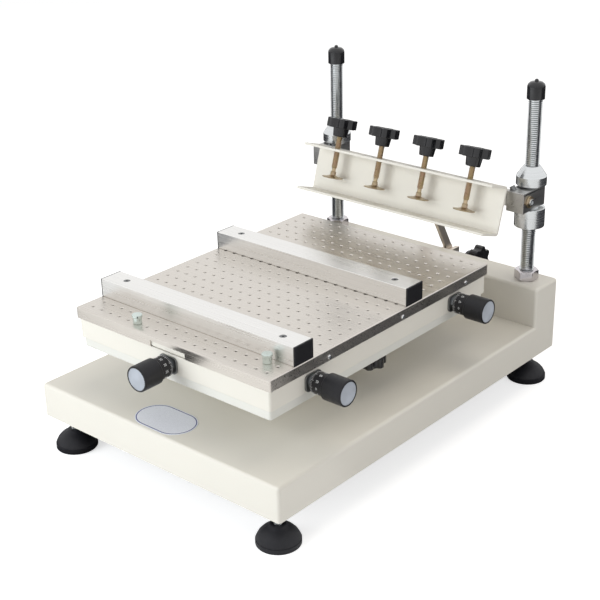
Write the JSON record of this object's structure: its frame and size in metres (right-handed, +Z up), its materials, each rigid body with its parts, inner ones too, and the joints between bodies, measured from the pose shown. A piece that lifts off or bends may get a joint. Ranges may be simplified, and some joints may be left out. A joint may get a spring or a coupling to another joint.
{
  "type": "solder paste stencil printer",
  "caption": "Manual bench stencil printer: perforated platform with dial adjusters, under a tilting clamp channel on threaded posts, on a stepped cream base.",
  "frame": {"origin": "on the floor, under the middle of the overall box", "axes": "+X to the operator's right, +Y to the back where the posts stand, +Z up"},
  "size_m": [0.385, 0.5989, 0.398],
  "materials": {
    "cream_paint": "fine powder coat, satin",
    "grey_steel": "plain zinc-plated sheet",
    "brushed_plate": "brushed along Y, satin",
    "rail_aluminium": "clear anodised, satin",
    "block_aluminium": "clear anodised, satin",
    "plated_steel": "bright zinc plating",
    "yellow_zinc": "yellow zinc plating",
    "pad_zinc": "bright zinc plating",
    "black_plastic": "moulded, satin",
    "dial_black": "moulded, satin",
    "foot_rubber": "matt",
    "white_ptfe": "plain"
  },
  "bodies": {
    "root": {"base_shell": "cream_paint", "bottom_cover": "grey_steel", "left_post": "plated_steel", "right_post": "plated_steel", "post_nuts": "plated_steel", "post_caps": "black_plastic", "pedestal": "grey_steel", "stage_tray": "cream_paint", "stage_box": "cream_paint", "y_rails": "grey_steel", "adjuster_flanges": "dial_black", "arm_fork": "grey_steel"},
    "front_left_foot": {"front_left_foot": "foot_rubber"},
    "front_right_foot": {"front_right_foot": "foot_rubber"},
    "rear_left_foot": {"rear_left_foot": "foot_rubber"},
    "rear_right_foot": {"rear_right_foot": "foot_rubber"},
    "carriage": {"left_block": "block_aluminium", "right_block": "block_aluminium"},
    "left_upper_collar": {"left_upper_collar": "plated_steel"},
    "left_lower_collar": {"left_lower_collar": "plated_steel"},
    "right_upper_collar": {"right_upper_collar": "plated_steel"},
    "right_lower_collar": {"right_lower_collar": "plated_steel"},
    "holder": {"clamp_channel": "cream_paint", "hinge_brackets": "grey_steel", "hinge_shaft": "plated_steel", "support_arm": "grey_steel", "pivot_screws": "plated_steel"},
    "clamp_1_pad": {"clamp_pad_1": "pad_zinc"},
    "clamp_1_screw": {"clamp_screw_1": "yellow_zinc", "clamp_knob_1": "black_plastic"},
    "clamp_2_pad": {"clamp_pad_2": "pad_zinc"},
    "clamp_2_screw": {"clamp_screw_2": "yellow_zinc", "clamp_knob_2": "black_plastic"},
    "clamp_3_pad": {"clamp_pad_3": "pad_zinc"},
    "clamp_3_screw": {"clamp_screw_3": "yellow_zinc", "clamp_knob_3": "black_plastic"},
    "clamp_4_pad": {"clamp_pad_4": "pad_zinc"},
    "clamp_4_screw": {"clamp_screw_4": "yellow_zinc", "clamp_knob_4": "black_plastic"},
    "arm_lock": {"arm_lock_knob": "black_plastic", "arm_lock_screw": "plated_steel"},
    "table_lock": {"table_lock_knob": "black_plastic", "table_lock_screw": "plated_steel"},
    "y_knob": {"y_knob": "dial_black"},
    "y_spindle": {"y_spindle": "plated_steel"},
    "x_knob": {"x_knob": "dial_black"},
    "x_spindle": {"x_spindle": "plated_steel"},
    "theta_knob": {"theta_knob": "dial_black"},
    "theta_spindle": {"theta_spindle": "plated_steel"},
    "y_slide": {"y_slide": "grey_steel"},
    "x_slide": {"x_slide": "grey_steel", "glide_pads": "white_ptfe"},
    "platform": {"platform_pan": "grey_steel", "platform_plate": "brushed_plate"},
    "front_rail": {"front_rail": "rail_aluminium", "front_rail_plugs": "black_plastic"},
    "rear_rail": {"rear_rail": "rail_aluminium", "rear_rail_plugs": "black_plastic"},
    "left_pin": {"left_pin": "plated_steel"},
    "right_pin": {"right_pin": "plated_steel"}
  },
  "joints": [
    {"name": "front_left_foot_height", "type": "slide", "parent": "root", "child": "front_left_foot", "axis": [0, 0, -1], "range_m": [0, 0.012]},
    {"name": "front_right_foot_height", "type": "slide", "parent": "root", "child": "front_right_foot", "axis": [0, 0, -1], "range_m": [0, 0.012]},
    {"name": "rear_left_foot_height", "type": "slide", "parent": "root", "child": "rear_left_foot", "axis": [0, 0, -1], "range_m": [0, 0.012]},
    {"name": "rear_right_foot_height", "type": "slide", "parent": "root", "child": "rear_right_foot", "axis": [0, 0, -1], "range_m": [0, 0.012]},
    {"name": "carriage_lift", "type": "slide", "parent": "root", "child": "carriage", "axis": [0, 0, 1], "range_m": [-0.005, 0.06]},
    {"name": "left_upper_collar_turn", "type": "hinge", "parent": "carriage", "child": "left_upper_collar", "pos_m": [-0.16, 0.23021, 0.264], "axis": [0, 0, 1], "range_deg": [-721, 8641]},
    {"name": "left_lower_collar_turn", "type": "hinge", "parent": "carriage", "child": "left_lower_collar", "pos_m": [-0.16, 0.23021, 0.238], "axis": [0, 0, 1], "range_deg": [-721, 8641]},
    {"name": "right_upper_collar_turn", "type": "hinge", "parent": "carriage", "child": "right_upper_collar", "pos_m": [0.151, 0.23021, 0.264], "axis": [0, 0, 1], "range_deg": [-721, 8641]},
    {"name": "right_lower_collar_turn", "type": "hinge", "parent": "carriage", "child": "right_lower_collar", "pos_m": [0.151, 0.23021, 0.238], "axis": [0, 0, 1], "range_deg": [-721, 8641]},
    {"name": "holder_tilt", "type": "hinge", "parent": "carriage", "child": "holder", "pos_m": [-0.0045, 0.20621, 0.251], "axis": [1, 0, 0], "range_deg": [-2.5, 17.3]},
    {"name": "clamp_1_travel", "type": "slide", "parent": "holder", "child": "clamp_1_pad", "axis": [0, 0.2974, 0.9548], "range_m": [-0.013, 0.015]},
    {"name": "clamp_1_turn", "type": "hinge", "parent": "clamp_1_pad", "child": "clamp_1_screw", "pos_m": [-0.1095, 0.16554, 0.26367], "axis": [0, 0.2974, 0.9548], "range_deg": [-3742, 4318]},
    {"name": "clamp_2_travel", "type": "slide", "parent": "holder", "child": "clamp_2_pad", "axis": [0, 0.2974, 0.9548], "range_m": [-0.013, 0.015]},
    {"name": "clamp_2_turn", "type": "hinge", "parent": "clamp_2_pad", "child": "clamp_2_screw", "pos_m": [-0.0395, 0.16554, 0.26367], "axis": [0, 0.2974, 0.9548], "range_deg": [-3742, 4318]},
    {"name": "clamp_3_travel", "type": "slide", "parent": "holder", "child": "clamp_3_pad", "axis": [0, 0.2974, 0.9548], "range_m": [-0.013, 0.015]},
    {"name": "clamp_3_turn", "type": "hinge", "parent": "clamp_3_pad", "child": "clamp_3_screw", "pos_m": [0.0305, 0.16554, 0.26367], "axis": [0, 0.2974, 0.9548], "range_deg": [-3742, 4318]},
    {"name": "clamp_4_travel", "type": "slide", "parent": "holder", "child": "clamp_4_pad", "axis": [0, 0.2974, 0.9548], "range_m": [-0.013, 0.015]},
    {"name": "clamp_4_turn", "type": "hinge", "parent": "clamp_4_pad", "child": "clamp_4_screw", "pos_m": [0.1005, 0.16554, 0.26367], "axis": [0, 0.2974, 0.9548], "range_deg": [-3742, 4318]},
    {"name": "arm_lock_turn", "type": "hinge", "parent": "root", "child": "arm_lock", "pos_m": [0.0395, 0.27979, 0.122], "axis": [1, 0, 0], "range_deg": [-80, 720]},
    {"name": "table_lock_turn", "type": "hinge", "parent": "root", "child": "table_lock", "pos_m": [0.1135, -0.04779, 0.134], "axis": [0, 0, -1], "range_deg": [-80, 720]},
    {"name": "y_knob_turn", "type": "hinge", "parent": "root", "child": "y_knob", "pos_m": [-0.0045, -0.25079, 0.1565], "axis": [0, -1, 0], "range_deg": [-1801, 1801]},
    {"name": "y_spindle_travel", "type": "slide", "parent": "root", "child": "y_spindle", "axis": [0, -1, 0], "range_m": [-0.005, 0.005]},
    {"name": "x_knob_turn", "type": "hinge", "parent": "root", "child": "x_knob", "pos_m": [0.1435, -0.18379, 0.1565], "axis": [1, 0, 0], "range_deg": [-1801, 1801]},
    {"name": "x_spindle_travel", "type": "slide", "parent": "root", "child": "x_spindle", "axis": [1, 0, 0], "range_m": [-0.005, 0.005]},
    {"name": "theta_knob_turn", "type": "hinge", "parent": "root", "child": "theta_knob", "pos_m": [0.1435, 0.07821, 0.1565], "axis": [1, 0, 0], "range_deg": [-1647, 1647]},
    {"name": "theta_spindle_travel", "type": "slide", "parent": "root", "child": "theta_spindle", "axis": [1, 0, 0], "range_m": [-0.005, 0.005]},
    {"name": "y_slide_travel", "type": "slide", "parent": "root", "child": "y_slide", "axis": [0, -1, 0], "range_m": [-0.005, 0.005]},
    {"name": "x_slide_travel", "type": "slide", "parent": "y_slide", "child": "x_slide", "axis": [1, 0, 0], "range_m": [-0.005, 0.005]},
    {"name": "platform_turn", "type": "hinge", "parent": "x_slide", "child": "platform", "pos_m": [-0.0045, -0.05279, 0.184], "axis": [0, 0, 1], "range_deg": [-2, 2]},
    {"name": "front_rail_shift", "type": "slide", "parent": "platform", "child": "front_rail", "axis": [0, 1, 0], "range_m": [-0.003, 0.08]},
    {"name": "rear_rail_shift", "type": "slide", "parent": "platform", "child": "rear_rail", "axis": [0, 1, 0], "range_m": [-0.08, 0.12]},
    {"name": "left_pin_lift", "type": "slide", "parent": "platform", "child": "left_pin", "axis": [0, 0, 1], "range_m": [0, 0.02]},
    {"name": "right_pin_lift", "type": "slide", "parent": "platform", "child": "right_pin", "axis": [0, 0, 1], "range_m": [0, 0.02]}
  ],
  "couplings": [
    {"joint": "left_upper_collar_turn", "follows": "carriage_lift", "rad_per_m": 2513.3},
    {"joint": "left_lower_collar_turn", "follows": "carriage_lift", "rad_per_m": 2513.3},
    {"joint": "right_upper_collar_turn", "follows": "carriage_lift", "rad_per_m": 2513.3},
    {"joint": "right_lower_collar_turn", "follows": "carriage_lift", "rad_per_m": 2513.3},
    {"joint": "clamp_1_travel", "follows": "clamp_1_turn", "m_per_rad": 0.00019894},
    {"joint": "clamp_2_travel", "follows": "clamp_2_turn", "m_per_rad": 0.00019894},
    {"joint": "clamp_3_travel", "follows": "clamp_3_turn", "m_per_rad": 0.00019894},
    {"joint": "clamp_4_travel", "follows": "clamp_4_turn", "m_per_rad": 0.00019894},
    {"joint": "y_knob_turn", "follows": "y_slide_travel", "rad_per_m": 6283.2},
    {"joint": "y_spindle_travel", "follows": "y_slide_travel", "ratio": 1},
    {"joint": "x_knob_turn", "follows": "x_slide_travel", "rad_per_m": 6283.2},
    {"joint": "x_spindle_travel", "follows": "x_slide_travel", "ratio": 1},
    {"joint": "theta_knob_turn", "follows": "platform_turn", "ratio": -823.1},
    {"joint": "theta_spindle_travel", "follows": "platform_turn", "m_per_rad": -0.131}
  ]
}
